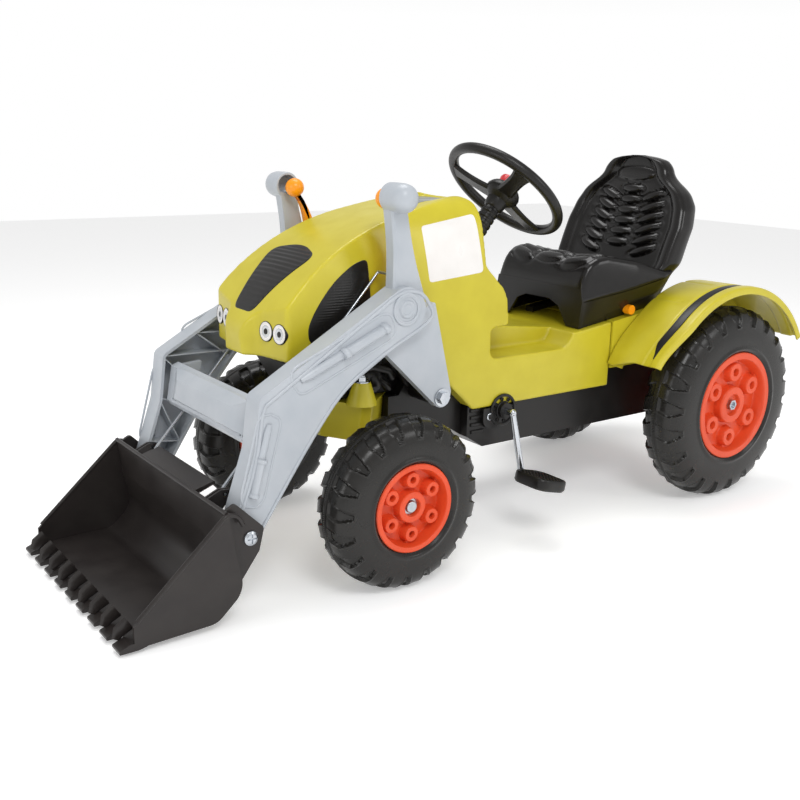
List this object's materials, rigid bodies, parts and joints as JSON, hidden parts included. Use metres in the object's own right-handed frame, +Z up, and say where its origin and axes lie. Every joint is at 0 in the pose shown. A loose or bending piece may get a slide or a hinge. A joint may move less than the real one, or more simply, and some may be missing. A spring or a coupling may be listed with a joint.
{
  "type": "ride on digger",
  "caption": "Ride-on pedal tractor with steerable front wheels and a hand-lifted front loader with a tipping bucket.",
  "frame": {"origin": "centre of the bounding box's underside, on the ground", "axes": "-Y forwards to the bucket, +X to the rider's left, +Z up; loader lowered, wheels straight ahead"},
  "size_m": [0.524, 1.42, 0.6714],
  "materials": {
    "lime_plastic": "gloss",
    "black_plastic": "satin",
    "lamp_plastic": "gloss",
    "white_panel": "satin",
    "grey_panel": "satin",
    "zinc_steel": "satin",
    "bright_rod": "polished",
    "red_plastic": "gloss",
    "tyre_plastic": "satin",
    "rim_plastic": "satin",
    "silver_plastic": "satin",
    "orange_plastic": "satin",
    "bucket_plastic": "satin",
    "seat_plastic": "satin"
  },
  "bodies": {
    "chassis": {"chassis_tub": "black_plastic", "engine_moulding": "black_plastic", "body_shell": "lime_plastic", "rear_deck": "lime_plastic", "front_grille": "black_plastic", "side_grilles": "black_plastic", "headlamps": "lamp_plastic", "side_panels": "white_panel", "dashboard_plate": "grey_panel", "fender_left": "lime_plastic", "fender_right": "lime_plastic", "fender_stripes": "black_plastic", "axle_carrier": "lime_plastic", "kingpins": "zinc_steel", "column_bush": "black_plastic", "crank_plates": "black_plastic", "axle_bushes": "black_plastic", "drive_chain": "zinc_steel", "seat_rails": "black_plastic", "tow_hitch": "black_plastic", "pivot_bolts": "zinc_steel"},
    "steering": {"steering_wheel": "black_plastic", "steering_shaft": "bright_rod"},
    "horn": {"horn_button": "red_plastic"},
    "knuckle_l": {"knuckle_left": "black_plastic", "front_bolt_left": "zinc_steel"},
    "knuckle_r": {"knuckle_right": "black_plastic", "front_bolt_right": "zinc_steel"},
    "tie": {"tie_rod": "black_plastic"},
    "wheel_fl": {"front_tyre_left": "tyre_plastic", "front_rim_left": "rim_plastic"},
    "wheel_fr": {"front_tyre_right": "tyre_plastic", "front_rim_right": "rim_plastic"},
    "rear": {"rear_axle": "zinc_steel", "rear_tyre_left": "tyre_plastic", "rear_tyre_right": "tyre_plastic", "rear_rim_left": "rim_plastic", "rear_rim_right": "rim_plastic", "hub_nuts": "zinc_steel", "rear_sprocket": "zinc_steel"},
    "crank": {"crank_shaft": "bright_rod", "crank_sprocket": "zinc_steel"},
    "pedal_l": {"pedal_left": "black_plastic"},
    "pedal_r": {"pedal_right": "black_plastic"},
    "loader": {"arm_left": "silver_plastic", "arm_right": "silver_plastic", "strut_left": "silver_plastic", "strut_right": "silver_plastic", "handle_left": "silver_plastic", "handle_right": "silver_plastic", "cross_beam": "silver_plastic"},
    "scoop": {"bucket": "bucket_plastic", "bucket_bolts": "zinc_steel"},
    "trigger_l": {"trigger_left": "orange_plastic"},
    "trigger_r": {"trigger_right": "orange_plastic"},
    "rod_l": {"tilt_rod_left": "zinc_steel"},
    "rod_r": {"tilt_rod_right": "zinc_steel"},
    "seat": {"seat_shell": "seat_plastic"},
    "latch": {"seat_latch": "orange_plastic"}
  },
  "joints": [
    {"name": "loader_lift", "type": "hinge", "parent": "chassis", "child": "loader", "pos_m": [0, -0.14236, 0.274], "axis": [-1, 0, 0], "range_deg": [0, 49]},
    {"name": "bucket_dump", "type": "hinge", "parent": "loader", "child": "scoop", "pos_m": [0, -0.50616, 0.1236], "axis": [1, 0, 0], "range_deg": [0, 50]},
    {"name": "trigger_left_swing", "type": "hinge", "parent": "loader", "child": "trigger_l", "pos_m": [0, -0.23066, 0.4282], "axis": [1, 0, 0], "range_deg": [0, 50]},
    {"name": "trigger_right_swing", "type": "hinge", "parent": "loader", "child": "trigger_r", "pos_m": [0, -0.23066, 0.4282], "axis": [1, 0, 0], "range_deg": [0, 50]},
    {"name": "tilt_rod_left_swing", "type": "hinge", "parent": "trigger_l", "child": "rod_l", "pos_m": [0, -0.23934, 0.47744], "axis": [1, 0, 0], "range_deg": [-50, 0]},
    {"name": "tilt_rod_right_swing", "type": "hinge", "parent": "trigger_r", "child": "rod_r", "pos_m": [0, -0.23934, 0.47744], "axis": [1, 0, 0], "range_deg": [-50, 0]},
    {"name": "steering_turn", "type": "hinge", "parent": "chassis", "child": "steering", "pos_m": [0, 0.12064, 0.588], "axis": [0, 0.6691, 0.7431], "range_deg": [-30, 30]},
    {"name": "knuckle_left_turn", "type": "hinge", "parent": "chassis", "child": "knuckle_l", "pos_m": [0.11, -0.26036, 0.137], "axis": [0, 0, 1], "range_deg": [-15, 15]},
    {"name": "knuckle_right_turn", "type": "hinge", "parent": "chassis", "child": "knuckle_r", "pos_m": [-0.11, -0.26036, 0.137], "axis": [0, 0, 1], "range_deg": [-15, 15]},
    {"name": "tie_rod_shift", "type": "slide", "parent": "chassis", "child": "tie", "axis": [1, 0, 0], "range_m": [-0.017, 0.017]},
    {"name": "front_wheel_left_spin", "type": "hinge", "parent": "knuckle_l", "child": "wheel_fl", "pos_m": [0.216, -0.26036, 0.137], "axis": [1, 0, 0], "continuous": true},
    {"name": "front_wheel_right_spin", "type": "hinge", "parent": "knuckle_r", "child": "wheel_fr", "pos_m": [-0.216, -0.26036, 0.137], "axis": [1, 0, 0], "continuous": true},
    {"name": "rear_axle_spin", "type": "hinge", "parent": "chassis", "child": "rear", "pos_m": [0, 0.51164, 0.188], "axis": [1, 0, 0], "continuous": true},
    {"name": "crank_spin", "type": "hinge", "parent": "chassis", "child": "crank", "pos_m": [0, 0.02764, 0.219], "axis": [1, 0, 0], "continuous": true},
    {"name": "pedal_left_spin", "type": "hinge", "parent": "crank", "child": "pedal_l", "pos_m": [0, 0.04485, 0.11035], "axis": [1, 0, 0], "continuous": true},
    {"name": "pedal_right_spin", "type": "hinge", "parent": "crank", "child": "pedal_r", "pos_m": [0, 0.01043, 0.32765], "axis": [1, 0, 0], "continuous": true},
    {"name": "horn_press", "type": "slide", "parent": "steering", "child": "horn", "axis": [0, -0.6691, -0.7431], "range_m": [0, 0.004], "stiffness_N_per_m": 600, "springref_m": -0.001},
    {"name": "seat_slide", "type": "slide", "parent": "chassis", "child": "seat", "axis": [0, 0.9917, 0.1289], "range_m": [-0.006, 0.02]},
    {"name": "latch_pull", "type": "slide", "parent": "seat", "child": "latch", "axis": [1, 0, 0], "range_m": [0, 0.008], "stiffness_N_per_m": 500, "springref_m": -0.002}
  ],
  "couplings": [
    {"joint": "trigger_left_swing", "follows": "bucket_dump", "ratio": 1},
    {"joint": "trigger_right_swing", "follows": "bucket_dump", "ratio": 1},
    {"joint": "tilt_rod_left_swing", "follows": "bucket_dump", "ratio": -1},
    {"joint": "tilt_rod_right_swing", "follows": "bucket_dump", "ratio": -1},
    {"joint": "knuckle_left_turn", "follows": "steering_turn", "ratio": 0.5},
    {"joint": "knuckle_right_turn", "follows": "steering_turn", "ratio": 0.5},
    {"joint": "tie_rod_shift", "follows": "steering_turn", "m_per_rad": -0.031372},
    {"joint": "crank_spin", "follows": "rear_axle_spin", "ratio": 0.63636}
  ]
}
